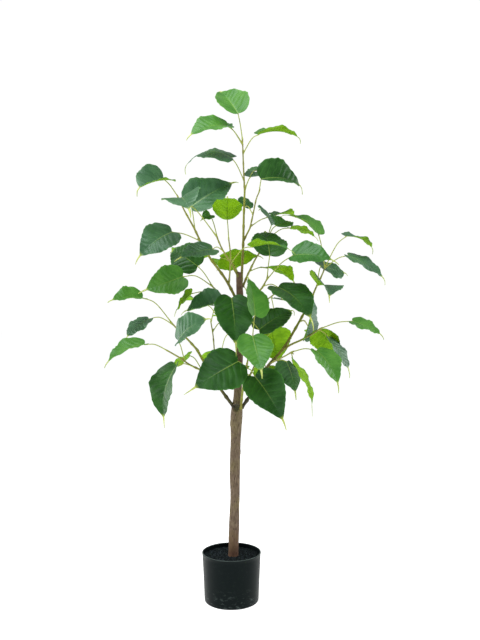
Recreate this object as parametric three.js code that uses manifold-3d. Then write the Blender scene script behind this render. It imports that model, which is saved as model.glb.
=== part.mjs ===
// An artificial bodhi tree: a natural-wood trunk set in a filled nursery pot, with plastic
// stems plugged into it and large heart-shaped leaves with long drip tips.
// Millimetres, +Z up. The origin is the centre of the pot's flat underside.

import * as THREE from 'three';
import { mergeVertices } from 'three/addons/utils/BufferGeometryUtils.js';
import Module from 'manifold-3d';

const wasm = await Module();
wasm.setup();

// ---------------------------------------------------------------- driving dimensions

const GAP = 0.3;                 // clearance kept between separate solids

const POT_HEIGHT = 113;
const POT_RIM_RADIUS = 69;
const POT_FOOT_RADIUS = 63.5;
const POT_WALL = 2.2;
const POT_LIP = 0.5;             // how far the rolled rim stands proud of the wall
const POT_LIP_HEIGHT = 3;
const POT_EDGE = 3;              // bottom edge radius, as one chamfer
const POT_FACETS = 40;

const FILLING_TOP = 103;         // surface of the filling where the trunk stands
const FILLING_CROWN = 2;         // rise of the filling between trunk and wall
const FILLING_DISH = [22, 32];   // radii between which it rises from the trunk
const FILLING_SHOULDER = 12;     // how far from the wall it starts to fall again

const TRUNK_FACETS = 14;
const TRUNK_TOP_SLANT = 0.35;    // the sawn top falls away to +X by this much per mm
// the trunk at its stations: height, sideways place and diameter
const TRUNK_STATIONS = [
  [FILLING_TOP + GAP, 4.5, 24],
  [180, 6, 24.5],
  [234, 8, 22],
  [300, 8, 24],
  [380, 10, 24],
  [440, 12, 28],
  [452, 12.5, 26],
  [466, 13, 20.5],
  [495, 15, 18.2],
  [564, 18.5, 17],
  [717, 20, 16.5],
  [771, 18, 13.5],
];

const LEAF_THICKNESS = 1.4;
const LEAF_WIDTH = 0.88;         // width of a blade over its length
const LEAF_WIDEST = 0.31;        // where along the blade it is widest
const LEAF_SHOULDER = 0.74;      // half width at the base over the half width at the widest place
const LEAF_LOBE = 0.07;          // how far the base corners reach back past the stalk, over length
const LEAF_NECK = 0.06;          // half width where the drip tip begins, over the widest
const DRIP_LENGTH = 0.25;        // drip tip over blade length
const BLADE_ROWS = [0, 0.1, 0.31, 0.6, 0.84, 1];
const DRIP_ROWS = [[0.5, 0.04], [1, 0.015]];     // place along the drip tip, half width over the widest

const STALK_RADIUS = 1.3;
const STALK_RISE = 0.12;         // bow of a stalk over its length
const STALK_SINK = 9;            // how far a stalk runs on inside its leaf
const TWIG_FACETS = 3;
const BOUGH_FACETS = 6;

// The leaves' places are given in the front view: as they show on the trunk's plane from this point,
// across and up, and with it how far in front of that plane it stands.
const VIEW_POINT = [20, 658];
const VIEW_DISTANCE = 1658;

// The sprays of the tree. Each names what carries it, its bough (with the radius at both ends), the
// twig that goes on from it, and its leaves. A leaf row reads: how far up the twig its stalk leaves;
// where its base shows in the front view, across and up, and its depth behind the trunk's plane; the
// same for the tip of its blade; then the turn of the blade and the fold along its midrib in degrees,
// its arch in percent of its length, its twist in degrees, how full it stays towards its tip, and how
// far its drip tip bends down.
const SPRAYS = [
  {
    name: 'top', parent: 'trunk',
    bough: [[23, -1, 743], [27, -2, 823], [29, -4, 905], [31, -4, 959]], boughRadii: [3.3, 2.3],
    twig: [[31, -4, 959], [28, -6, 1022], [26, -8, 1080]], twigRadii: [2.1, 1.5],
    leaves: [
      [1.00, 15, 1145, -25, -25, 1195, 40, -25, 30, 5, 0, 1.7, 0.3],
      [0.92, -10, 1115, -10, -95, 1095, -50, -35, 15, 10, 0, 2.0, 0.3],
      [0.20, 0, 1040, 0, -105, 1025, 30, -25, -5, 20, 0, 1.4, 0.8],
      [0.72, 65, 1095, 0, 155, 1090, 30, 10, 15, 10, 0, 1.8, 0.6],
      [0.00, 45, 995, 15, 115, 1000, 65, 15, 10, 5, 0, 1.6, 0.3],
      [0.05, 65, 1010, 60, 115, 1015, 140, 0, 10, 5, 0, 1.6, 0.3],
      [0.90, -20, 1115, 50, -70, 1125, 115, 0, 10, 5, 0, 1.6, 0.3],
    ],
  },
  {
    name: 'leader_side', parent: 'bough_top',
    bough: [[29, -3, 846], [43, -12, 872]], boughRadii: [2.2, 1.9],
    twig: [[43, -12, 872], [50, -22, 902], [57, -34, 935], [64, -42, 952]], twigRadii: [1.8, 1.4],
    leaves: [
      [1.00, 70, 990, -45, 160, 975, 20, 45, 30, 10, -15, 2.0, 0.6],
      [0.34, 30, 925, 20, 35, 945, 60, 30, 10, 5, 0, 1.6, 0.3],
      [0.04, 85, 900, -20, 70, 920, 40, 50, -10, 10, 20, 1.4, 0.3],
    ],
  },
  {
    name: 'upper_right', parent: 'trunk',
    bough: [[27, 6, 738], [39, 12, 767]], boughRadii: [2.8, 2.4],
    twig: [[39, 12, 767], [56, 26, 802], [68, 38, 822], [88, 60, 858]], twigRadii: [2.3, 1.6],
    leaves: [
      [0.06, 85, 780, 35, 145, 750, 95, 0, 10, 10, 0, 1.6, 0.3],
      [1.00, 105, 880, 65, 135, 890, 130, 35, 25, 0, 15, 1.4, 0.3],
      [0.92, 140, 875, 65, 195, 855, 90, 0, 10, 5, 0, 1.8, 0.3],
      [0.96, 105, 905, 110, 145, 905, 165, 0, 15, 5, 0, 1.8, 0.3],
    ],
  },
  {
    name: 'mid_right', parent: 'trunk',
    bough: [[27, -6, 693], [53, -20, 714], [71, -33, 732]], boughRadii: [2.8, 2.2],
    twig: [[71, -33, 732], [82, -44, 752]], twigRadii: [2.1, 1.7],
    leaves: [
      [1.00, 90, 810, -35, 80, 865, 40, 5, 15, 5, 0, 1.8, 0.3],
      [0.90, 145, 810, -70, 235, 800, -95, 45, 15, 10, 0, 1.8, 0.2],
      [0.20, 110, 735, -70, 185, 665, -130, 15, 10, 10, 0, 2.2, 0.5],
    ],
  },
  {
    name: 'upper_left', parent: 'trunk',
    bough: [[12, -6, 705], [-6, -14, 740], [-22, -20, 765], [-49, -30, 801], [-70, -39, 836]],
    boughRadii: [3.4, 2.6],
    twig: [[-70, -39, 836], [-85, -48, 868], [-107, -58, 908], [-120, -66, 936]],
    twigRadii: [2.5, 1.6],
    leaves: [
      [0.30, -95, 925, -25, 0, 980, 30, 50, 25, 5, 0, 1.4, 0.2],
      [1.00, -160, 990, -70, -215, 970, -145, -45, 30, 5, -45, 3.0, 0.6],
      [0.04, -140, 865, -50, -215, 810, -90, -45, 10, 10, 10, 1.8, 0.3],
    ],
  },
  {
    name: 'centre_fork', parent: 'bough_upper_left',
    twig: [[-6, -14, 742], [-3, -26, 775], [-2, -31, 809], [-6, -33, 844]], twigRadii: [2.0, 1.5],
    leaves: [
      [1.00, -10, 895, -40, -10, 945, -120, 0, 30, 0, 0, 1.6, 0.3],
    ],
  },
  {
    name: 'centre', parent: 'trunk',
    bough: [[15, -5, 761], [1, -14, 789]], boughRadii: [2.6, 2.3],
    twig: [[1, -14, 789], [-20, -30, 820], [-34, -45, 850]], twigRadii: [2.2, 1.6],
    leaves: [
      [0.04, 50, 830, -85, 135, 825, -120, 0, 10, 10, 0, 1.6, 0.2],
      [0.45, -45, 825, -65, -120, 805, -110, -30, 10, 5, 0, 1.6, 0.1],
      [0.88, -50, 905, -10, -70, 895, -40, -40, 30, 0, 10, 1.6, 0.3],
      [1.00, -120, 945, -100, -100, 920, -190, 20, 15, 10, 0, 2.0, 0.5],
    ],
  },
  {
    name: 'back_upper', parent: 'bough_upper_left',
    twig: [[-52, -31, 806], [-62, 20, 824], [-78, 64, 838]], twigRadii: [2.0, 1.5],
    leaves: [
      [1.00, -90, 820, 90, -135, 815, 165, 0, 10, 5, 0, 1.6, 0.3],
      [0.80, -75, 820, 105, -75, 795, 185, 0, 10, 5, 0, 1.6, 0.3],
    ],
  },
  {
    name: 'mid_left', parent: 'trunk',
    bough: [[15, -8, 670], [-6, -10, 694]], boughRadii: [3.0, 2.5],
    twig: [[-6, -10, 694], [-27, -12, 719], [-45, -14, 737]], twigRadii: [2.4, 1.7],
    leaves: [
      [0.96, -80, 785, 5, -140, 820, 55, -60, 10, 15, 0, 1.8, 0.3],
      [1.00, -115, 760, -25, -200, 730, -50, -60, 10, 0, 0, 1.7, 0.1],
      [0.30, -95, 720, 20, -130, 680, -15, 45, 10, 5, 0, 2.0, 0.3],
    ],
  },
  {
    name: 'low_left', parent: 'trunk',
    bough: [[5, -4, 454], [-22, -14, 492], [-45, -22, 528], [-66, -28, 565], [-79, -30, 589]],
    boughRadii: [4.0, 2.8],
    twig: [[-79, -30, 589], [-100, -30, 612], [-119, -28, 630], [-138, -26, 651]],
    twigRadii: [2.7, 1.7],
    leaves: [
      [1.00, -210, 710, -25, -280, 705, -70, -30, 25, 5, 0, 2.0, 0.2],
      [0.92, -195, 660, -10, -245, 620, -40, -10, 10, 5, 15, 2.2, 0.3],
    ],
  },
  {
    name: 'low_left_front', parent: 'bough_low_left',
    bough: [[-45, -22, 528], [-64, -43, 540]], boughRadii: [2.8, 2.5],
    twig: [[-64, -43, 540], [-75, -58, 547], [-93, -72, 557], [-114, -84, 573], [-140, -92, 589]],
    twigRadii: [2.4, 1.6],
    leaves: [
      [1.00, -205, 600, -100, -290, 560, -130, -15, 20, 10, 0, 1.6, 0.3],
      [0.64, -125, 610, -90, -60, 660, -125, 50, 20, 10, -20, 3.0, 0.3],
      [0.38, -130, 550, -105, -160, 430, -125, 10, 20, 10, 25, 1.8, 0.5],
      [0.05, -100, 575, -20, -160, 535, -55, 30, 0, 0, 0, 1.8, 0.3],
    ],
  },
  {
    name: 'low_left_inner', parent: 'bough_low_left',
    bough: [[-34, -17, 509], [-39, -5, 550]], boughRadii: [2.0, 1.8],
    twig: [[-39, -5, 550], [-41, 4, 590], [-44, 8, 623], [-49, 10, 653]], twigRadii: [1.7, 1.4],
    leaves: [
      [1.00, -30, 700, -30, -105, 680, 15, -45, 35, 0, 0, 2.2, 0.3],
      [0.74, -25, 655, 20, -40, 695, 95, 60, 10, 5, 0, 1.6, 0.3],
    ],
  },
  {
    name: 'low_right', parent: 'trunk',
    bough: [
      [25, -2, 453], [43, -8, 480], [62, -14, 511], [85, -20, 551], [104, -22, 572],
      [120, -24, 591], [136, -22, 616], [167, -16, 670], [186, -11, 705],
    ],
    boughRadii: [4.0, 2.5],
    twig: [[186, -11, 705], [198, -6, 733], [213, 0, 764], [221, 4, 783]], twigRadii: [2.4, 1.7],
    leaves: [
      [1.00, 270, 855, 10, 330, 830, 45, 15, 10, 10, 0, 2.0, 0.8],
      [0.95, 275, 810, -5, 355, 760, -25, 15, 5, 5, -10, 1.7, 0.6],
      [0.97, 205, 860, -20, 130, 905, 10, -10, 15, 10, 0, 1.7, 0.3],
      [0.40, 210, 785, 15, 265, 770, 60, 30, 0, 0, -25, 2.4, 0.3],
      [0.36, 205, 740, -15, 230, 715, -115, -25, 25, 10, 0, 1.6, 0.3],
    ],
  },
  {
    name: 'right_mid', parent: 'bough_low_right',
    bough: [[115, -24, 585], [135, -36, 600], [160, -46, 612]], boughRadii: [2.6, 2.2],
    twig: [[160, -46, 612], [184, -56, 626], [201, -62, 638]], twigRadii: [2.1, 1.6],
    leaves: [
      [1.00, 285, 655, -70, 350, 625, -95, 20, 10, 5, 0, 1.7, 0.4],
      [0.98, 210, 635, -45, 240, 585, 10, -15, -20, 0, 0, 2.0, 0.3],
      [0.92, 230, 615, -60, 275, 545, -80, -5, 5, 5, -15, 2.0, 0.6],
      [0.10, 170, 615, -50, 190, 710, -50, 160, 20, 5, 0, 1.6, 0.3],
    ],
  },
  {
    name: 'right_back', parent: 'bough_low_right',
    twig: [[158, -18, 654], [174, 28, 656], [188, 60, 640]], twigRadii: [2.0, 1.5],
    leaves: [
      [1.00, 195, 630, 90, 235, 590, 160, 0, 10, 5, 0, 1.6, 0.3],
    ],
  },
  {
    name: 'right_front', parent: 'bough_low_right',
    bough: [[90, -21, 557], [99, -38, 563]], boughRadii: [2.4, 2.1],
    twig: [[99, -38, 563], [121, -75, 577], [135, -95, 587]], twigRadii: [2.0, 1.5],
    leaves: [
      [1.00, 200, 585, -115, 250, 510, -150, 5, 15, 10, -15, 1.6, 0.6],
      [0.95, 145, 560, -90, 190, 460, -115, -30, 0, 10, 10, 1.8, 0.5],
      [0.08, 130, 560, -35, 150, 490, -10, 180, 25, -5, 15, 1.4, 0.3],
    ],
  },
  {
    name: 'low_back', parent: 'bough_low_right',
    twig: [[62, -14, 511], [88, 46, 520], [100, 76, 516]], twigRadii: [2.0, 1.5],
    leaves: [
      [1.00, 105, 520, 90, 110, 515, 170, 0, 10, 5, 0, 1.6, 0.3],
    ],
  },
  {
    name: 'front', parent: 'trunk',
    bough: [[22, -12, 452], [25, -30, 485], [28, -42, 509], [32, -58, 538]],
    boughRadii: [2.8, 2.3],
    twig: [[32, -58, 538], [42, -84, 591], [48, -96, 618]], twigRadii: [2.2, 1.6],
    leaves: [
      [1.00, 55, 670, -105, 40, 755, -70, 25, 20, 5, 0, 1.5, 0.3],
      [0.96, 50, 620, -110, 70, 540, -170, 0, 5, 0, -15, 1.4, 0.5],
      [0.10, 55, 525, -85, 120, 425, -125, 45, 20, 10, 0, 1.6, 0.3],
      [0.04, 15, 560, -85, -85, 500, -125, -60, 0, 5, 0, 1.6, 0.0],
    ],
  },
  {
    name: 'front_high', parent: 'trunk',
    bough: [[20, -10, 635], [20, -22, 651]], boughRadii: [2.4, 2.1],
    twig: [[20, -22, 651], [24, -40, 676]], twigRadii: [2.0, 1.6],
    leaves: [
      [1.00, 0, 710, -50, 10, 605, -85, 0, 10, 5, 0, 2.0, 0.3],
      [0.60, 65, 635, -35, 140, 680, 0, 30, 10, 5, 0, 2.4, 0.6],
    ],
  },
  {
    name: 'back_low', parent: 'trunk',
    bough: [[22, 8, 481], [39, 50, 512]], boughRadii: [3.2, 2.5],
    twig: [[39, 50, 512], [60, 100, 553], [76, 135, 594]], twigRadii: [2.4, 1.7],
    leaves: [
      [1.00, 95, 630, 120, 110, 560, 195, -20, 5, 5, 0, 1.6, 0.3],
      [0.90, 80, 545, 160, 100, 480, 220, 0, 10, 5, 0, 1.6, 0.3],
      [0.10, 10, 550, 110, -20, 525, 200, 10, 10, 5, 0, 1.6, 0.3],
      [0.00, 75, 500, 105, 95, 480, 195, 0, 10, 5, 0, 1.6, 0.3],
    ],
  },
  {
    name: 'back_high', parent: 'trunk',
    bough: [[18, 8, 705], [20, 38, 735]], boughRadii: [2.6, 2.2],
    twig: [[20, 38, 735], [20, 75, 766]], twigRadii: [2.1, 1.6],
    leaves: [
      [1.00, -25, 805, 75, 60, 810, 105, -35, -20, 5, 0, 1.6, 0.3],
      [0.50, 45, 690, 110, 65, 690, 200, 0, 10, 5, 0, 1.6, 0.3],
      [0.90, -5, 795, 110, -30, 785, 195, 0, 10, 5, 0, 1.6, 0.3],
    ],
  },
  {
    name: 'back_right', parent: 'trunk',
    bough: [[24, 8, 668], [50, 34, 688]], boughRadii: [2.6, 2.2],
    twig: [[50, 34, 688], [86, 68, 708], [110, 90, 726]], twigRadii: [2.1, 1.6],
    leaves: [
      [1.00, 120, 705, 105, 170, 690, 185, 0, 10, 5, 0, 1.6, 0.3],
      [0.70, 100, 680, 100, 115, 640, 185, 0, 10, 5, 0, 1.6, 0.3],
    ],
  },
  {
    name: 'back_left', parent: 'trunk',
    bough: [[13, 8, 599], [-2, 40, 622]], boughRadii: [3.0, 2.4],
    twig: [[-2, 40, 622], [-9, 60, 634], [-30, 110, 653]], twigRadii: [2.3, 1.7],
    leaves: [
      [1.00, -65, 695, 140, -110, 705, 215, 15, 10, 5, 0, 1.6, 0.3],
      [0.90, -10, 665, 150, 10, 645, 250, 0, 10, 5, 0, 1.6, 0.3],
      [0.30, -25, 580, 110, -40, 535, 195, 0, 10, 5, 0, 1.6, 0.3],
    ],
  },
];

// ---------------------------------------------------------------- geometry helpers

const vec = (p) => new THREE.Vector3(p[0], p[1], p[2]);
const UP = new THREE.Vector3(0, 0, 1);
const rad = THREE.MathUtils.degToRad;

/** A seeded number from -1 to 1, the same on every run. */
function wobble(index, channel) {
  const s = Math.sin(index * 12.9898 + channel * 78.233) * 43758.5453;
  return (s - Math.floor(s)) * 2 - 1;
}

/** A smooth curve through a few points, as evenly numbered places along it. */
function smooth(points, steps) {
  return new THREE.CatmullRomCurve3(points, false, 'catmullrom').getPoints(steps);
}

function pointOn(points, share) {
  return new THREE.CatmullRomCurve3(points, false, 'catmullrom').getPoint(share);
}

/** Closes a stack of equal rings into one body, with a fan over each end. */
function loft(rings) {
  const around = rings[0].length;
  const positions = [];
  const index = [];
  for (const ring of rings) {
    for (const p of ring) positions.push(p.x, p.y, p.z);
  }
  for (let i = 0; i < rings.length - 1; i += 1) {
    for (let j = 0; j < around; j += 1) {
      const a = i * around + j;
      const b = i * around + (j + 1) % around;
      index.push(a, b, b + around, a, b + around, a + around);
    }
  }
  for (const [ring, turned] of [[0, true], [rings.length - 1, false]]) {
    const start = ring * around;
    for (let j = 1; j < around - 1; j += 1) {
      const [b, c] = turned ? [start + j + 1, start + j] : [start + j, start + j + 1];
      index.push(start, b, c);
    }
  }
  const geometry = new THREE.BufferGeometry();
  geometry.setAttribute('position', new THREE.Float32BufferAttribute(positions, 3));
  geometry.setIndex(index);
  return geometry;
}

/** A tapering round tube along a path; grow widens it and lengthens its far end. */
function tube(path, radii, facets, grow = 0) {
  const points = path.map((p) => p.clone());
  const last = points.length - 1;
  const onward = points[last].clone().sub(points[last - 1]).setLength(grow);
  points[last].add(onward);
  const rings = [];
  let side = null;
  for (let i = 0; i <= last; i += 1) {
    const before = points[Math.max(i - 1, 0)];
    const after = points[Math.min(i + 1, last)];
    const along = after.clone().sub(before).normalize();
    const guess = side ?? new THREE.Vector3(Math.abs(along.x) > 0.9 ? 0 : 1, 0.2, 0);
    side = guess.clone().addScaledVector(along, -guess.dot(along)).normalize();
    const other = along.clone().cross(side);
    const radius = THREE.MathUtils.lerp(radii[0], radii[1], i / last) + grow;
    const ring = [];
    for (let j = 0; j < facets; j += 1) {
      const angle = (j / facets) * Math.PI * 2;
      const spoke = side.clone().multiplyScalar(Math.cos(angle)).addScaledVector(other, Math.sin(angle));
      ring.push(points[i].clone().addScaledVector(spoke, radius));
    }
    rings.push(ring);
  }
  return loft(rings);
}

/** Geometry into a solid that can be joined and cut. */
function solid(geometry) {
  const bare = geometry.clone();
  bare.deleteAttribute('normal');
  bare.deleteAttribute('uv');
  const merged = mergeVertices(bare, 1e-4);
  const vertProperties = new Float32Array(merged.attributes.position.array);
  const triVerts = new Uint32Array(merged.index.array);
  return new wasm.Manifold(new wasm.Mesh({ numProp: 3, vertProperties, triVerts }));
}

/** A joined or cut solid back into geometry. */
function shape(body) {
  const { vertProperties, triVerts } = body.getMesh();
  const geometry = new THREE.BufferGeometry();
  geometry.setAttribute('position', new THREE.Float32BufferAttribute(vertProperties, 3));
  geometry.setIndex(Array.from(triVerts));
  return geometry;
}

// ---------------------------------------------------------------- pot, filling and trunk

/** Turns a radius and height profile round the pot's axis. */
function turned(profile) {
  const points = profile.map(([r, z]) => new THREE.Vector2(r, z));
  return new THREE.LatheGeometry(points, POT_FACETS).rotateX(Math.PI / 2);
}

/** Outside radius of the pot's plain wall at a height. */
function potRadius(z) {
  return THREE.MathUtils.lerp(POT_FOOT_RADIUS, POT_RIM_RADIUS - POT_LIP, z / POT_HEIGHT);
}

function pot() {
  const lipFoot = POT_HEIGHT - POT_LIP_HEIGHT;
  return turned([
    [0, 0],
    [POT_FOOT_RADIUS - POT_EDGE, 0],
    [potRadius(POT_EDGE), POT_EDGE],
    [potRadius(lipFoot), lipFoot],
    [POT_RIM_RADIUS, lipFoot + POT_LIP],
    [POT_RIM_RADIUS, POT_HEIGHT],
    [potRadius(POT_HEIGHT) - POT_WALL, POT_HEIGHT],
    [potRadius(POT_WALL) - POT_WALL, POT_WALL],
    [0, POT_WALL],
  ]);
}

function potFilling() {
  const floor = POT_WALL + GAP;
  const inside = (z) => potRadius(z) - POT_WALL - GAP;
  const atWall = FILLING_TOP - FILLING_CROWN;
  return turned([
    [0, floor],
    [inside(floor), floor],
    [inside(atWall), atWall],
    [inside(atWall) - FILLING_SHOULDER, FILLING_TOP + FILLING_CROWN],
    [FILLING_DISH[1], FILLING_TOP + FILLING_CROWN],
    [FILLING_DISH[0], FILLING_TOP],
    [0, FILLING_TOP],
  ]);
}

/** Level rings at the trunk's stations, with the last one sawn on a slant. */
function trunk(grow = 0) {
  const top = TRUNK_STATIONS.length - 1;
  const rings = TRUNK_STATIONS.map(([z, x, diameter], i) => {
    const ring = [];
    for (let j = 0; j < TRUNK_FACETS; j += 1) {
      const angle = (j / TRUNK_FACETS) * Math.PI * 2;
      const radius = diameter / 2 + grow;
      const across = Math.cos(angle) * radius;
      const slant = i === top ? grow - across * TRUNK_TOP_SLANT : 0;
      ring.push(new THREE.Vector3(x + across, Math.sin(angle) * radius, z + slant));
    }
    return ring;
  });
  return loft(rings);
}

// ---------------------------------------------------------------- leaves

/** Half width of a blade, over its widest half width, at a place from base (0) to tip (1). */
function outline(v, full) {
  if (v < LEAF_WIDEST) {
    const toBase = (LEAF_WIDEST - v) / LEAF_WIDEST;
    return Math.sqrt(1 - (1 - LEAF_SHOULDER ** 2) * toBase ** 2);
  }
  const onward = (v - LEAF_WIDEST) / (1 - LEAF_WIDEST);
  return LEAF_NECK + (1 - LEAF_NECK) * (1 - onward ** full);
}

/** The place at a depth that shows in the front view where the trunk's plane has this point. */
function inView(across, up, depth) {
  const away = 1 + depth / VIEW_DISTANCE;
  return new THREE.Vector3(
    VIEW_POINT[0] + (across - VIEW_POINT[0]) * away,
    depth,
    VIEW_POINT[1] + (up - VIEW_POINT[1]) * away,
  );
}

/** A blade's base, its length, and its own axes: along the midrib, up off its face, and across. */
function bladeAxes(row) {
  const base = inView(...row.slice(1, 4));
  const reach = inView(...row.slice(4, 7)).sub(base);
  const along = reach.clone().normalize();
  const level = UP.clone().addScaledVector(along, -along.z).normalize();
  const right = along.clone().cross(level);
  const turn = rad(row[7]);
  const face = level.multiplyScalar(Math.cos(turn)).addScaledVector(right, Math.sin(turn));
  return { base, length: reach.length(), along, face, across: along.clone().cross(face) };
}

/** One closed leaf: rows of left edge, midrib and right edge, given a thickness and a drip tip. */
function leaf(row, index) {
  const [fold, arch, twist, full, droop] = row.slice(8);
  const { base, length, along, face, across } = bladeAxes(row);
  const halfWidth = length * LEAF_WIDTH * (1 + 0.04 * wobble(index, 1)) / 2;
  const bow = 4 * arch / 100;
  const rows = BLADE_ROWS.map((v) => {
    const middle = base.clone().addScaledVector(along, length * v)
      .addScaledVector(face, bow * length * v * (1 - v));
    const back = v === 0 ? LEAF_LOBE * length : 0;
    return { middle, half: halfWidth * outline(v, full), back, v };
  });
  const neck = rows[rows.length - 1].middle;
  const onward = along.clone().addScaledVector(face, -bow).normalize();
  const drip = length * DRIP_LENGTH * (1 + 0.2 * wobble(index, 2));
  for (const [k, share] of DRIP_ROWS) {
    const middle = neck.clone().addScaledVector(onward, drip * k * (1 - droop * k))
      .addScaledVector(UP, -drip * droop * k * k);
    rows.push({ middle, half: halfWidth * share, back: 0, v: 1 });
  }
  const rings = rows.map(({ middle, half, back, v }) => {
    const lift = rad(fold);
    const spin = rad(twist * v);
    const aside = across.clone().multiplyScalar(Math.cos(spin)).addScaledVector(face, Math.sin(spin));
    const up = face.clone().multiplyScalar(Math.cos(spin)).addScaledVector(across, -Math.sin(spin));
    const edge = (sign) => middle.clone()
      .addScaledVector(aside, sign * half * Math.cos(lift))
      .addScaledVector(up, half * Math.sin(lift))
      .addScaledVector(along, -back);
    const places = [edge(-1), middle, edge(1)];
    const offset = LEAF_THICKNESS / 2 / Math.cos(lift);
    const upper = places.map((p) => p.clone().addScaledVector(up, offset));
    const under = places.map((p) => p.clone().addScaledVector(up, -offset)).reverse();
    return [...upper, ...under];
  });
  return solid(loft(rings));
}

/** A leaf's stalk: from the twig in a light bow to the base of the blade, and on inside it. */
function stalk(from, row, index) {
  const { base: to, along } = bladeAxes(row);
  const reach = to.distanceTo(from);
  const rise = reach * STALK_RISE * (1 + 0.5 * wobble(index, 3));
  const middle = from.clone().lerp(to, 0.55).addScaledVector(UP, rise);
  const inside = to.clone().addScaledVector(along, STALK_SINK);
  return solid(tube([...smooth([from, middle, to], 3), inside],
    [STALK_RADIUS, STALK_RADIUS * 0.8], TWIG_FACETS));
}

/** A spray's twig, stalks and leaves, joined into one body. */
function foliage(spray, firstIndex) {
  const path = spray.twig.map(vec);
  let body = solid(tube(smooth(path, path.length + 1), spray.twigRadii, TWIG_FACETS));
  spray.leaves.forEach((row, i) => {
    const index = firstIndex + i;
    body = body.add(stalk(pointOn(path, row[0]), row, index)).add(leaf(row, index));
  });
  return body;
}

// ---------------------------------------------------------------- the whole tree

const group = new THREE.Group();

function place(name, geometry, color, roughness) {
  const material = new THREE.MeshStandardMaterial({ color, roughness, metalness: 0, flatShading: true });
  const mesh = new THREE.Mesh(geometry, material);
  mesh.name = name;
  group.add(mesh);
}

place('pot', pot(), 0x1b2223, 0.45);
place('pot_filling', potFilling(), 0x101a1c, 0.95);
place('trunk', trunk(), 0x7a6a57, 0.85);

const carriers = { trunk: solid(trunk(GAP)) };
for (const spray of SPRAYS) {
  if (!spray.bough) continue;
  const path = smooth(spray.bough.map(vec), spray.bough.length + 1);
  const carrier = carriers[spray.parent];
  const bough = solid(tube(path, spray.boughRadii, BOUGH_FACETS)).subtract(carrier);
  carriers[`bough_${spray.name}`] = solid(tube(path, spray.boughRadii, BOUGH_FACETS, GAP));
  place(`bough_${spray.name}`, shape(bough), 0x6d6a25, 0.6);
}

let leafCount = 0;
for (const spray of SPRAYS) {
  const carrier = spray.bough ? `bough_${spray.name}` : spray.parent;
  const body = foliage(spray, leafCount).subtract(carriers[carrier]);
  leafCount += spray.leaves.length;
  place(`foliage_${spray.name}`, shape(body), 0x4b8a45, 0.5);
}

export default group;
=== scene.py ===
"""The finish of an artificial bodhi tree: pressed leaves, moulded stems, a natural trunk, a filled pot.

Lengths are millimetres until a mesh is made, and +Z is up. The camera looks along +Y.
"""

import math

import bpy
import numpy as np
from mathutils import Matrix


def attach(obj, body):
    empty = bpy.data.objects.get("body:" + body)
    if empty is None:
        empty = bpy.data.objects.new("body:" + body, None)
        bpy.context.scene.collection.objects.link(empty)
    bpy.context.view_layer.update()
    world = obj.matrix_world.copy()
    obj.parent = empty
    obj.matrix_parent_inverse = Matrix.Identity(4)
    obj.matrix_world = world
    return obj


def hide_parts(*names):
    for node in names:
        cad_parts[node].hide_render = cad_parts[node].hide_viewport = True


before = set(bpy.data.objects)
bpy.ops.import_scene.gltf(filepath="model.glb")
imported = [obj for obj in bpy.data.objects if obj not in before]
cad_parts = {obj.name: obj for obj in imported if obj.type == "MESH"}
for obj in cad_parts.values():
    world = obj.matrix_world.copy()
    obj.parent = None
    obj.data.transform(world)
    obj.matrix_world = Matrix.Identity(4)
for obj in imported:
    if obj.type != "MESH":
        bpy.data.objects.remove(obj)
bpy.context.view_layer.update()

# ------------------------ driving sizes

MM = 0.001
CAMERA_PLACE = (20, -1658, 658)
FOCAL_PIXELS = 704               # the focal length in the same pixels as the frame's height
FRAME_PIXELS = 640
SENSOR = 36

POT_HEIGHT = 113
POT_RIM_RADIUS = 69
POT_FOOT_RADIUS = 63.5
POT_WALL = 2.2
POT_LIP = 0.5                    # how far the rolled rim stands proud of the wall
POT_LIP_HEIGHT = 3
POT_EDGE = 3
POT_COLUMNS = 144
FILLING_TOP = 103
FILLING_CROWN = 2
FILLING_GAP = 0.3                # between the filling and the pot
GRAIN_COUNT = 2600
GRAIN_SIZE = 1.3
GRAIN_SPREAD = 0.6
GRAINS_FROM = 14                 # how near the trunk's middle the loose grains lie

TRUNK_FOOT_PLACE = 4.5           # the trunk's middle at its foot, sideways
TRUNK_SINK = 6                   # how far the trunk runs on below the filling's surface
TRUNK_TOP = 771                  # the sawn top, in its middle
TRUNK_TOP_SLANT = 0.35
TRUNK_ROWS = 330
TRUNK_COLUMNS = 80
CUT_ROWS = 6
# the trunk at its stations: height, sideways place and diameter
TRUNK_STATIONS = np.array([
    (90, 4.3, 24.6), (103.3, 4.5, 24), (180, 6, 24.5), (234, 8, 22), (300, 8, 24), (380, 10, 24),
    (440, 12, 28), (452, 12.5, 26), (466, 13, 20.5), (495, 15, 18.2), (564, 18.5, 17),
    (717, 20, 16.5), (TRUNK_TOP, 18, 13.5), (785, 17.8, 13.4),
])
# grown-over branch scars on the trunk: height, way round in degrees, size, depth
TRUNK_SCARS = (
    (128, -70, 3.0, 1.0), (171, -118, 3.4, 0.8), (214, -62, 3.0, 0.9), (268, -104, 2.6, 0.7),
    (322, -80, 3.2, 0.9), (347, 20, 4.2, 1.2), (398, -112, 3.0, 0.8), (414, 160, 4.6, 1.3),
    (560, -96, 2.4, 0.7), (610, -70, 2.6, 0.8), (680, -110, 2.2, 0.7),
)
SOCKET_PLACE = (11, 453)         # the open socket at the front of the collar: sideways, height
SOCKET_SIZE = (8.5, 10)
SOCKET_DEPTH = 3.2

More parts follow.
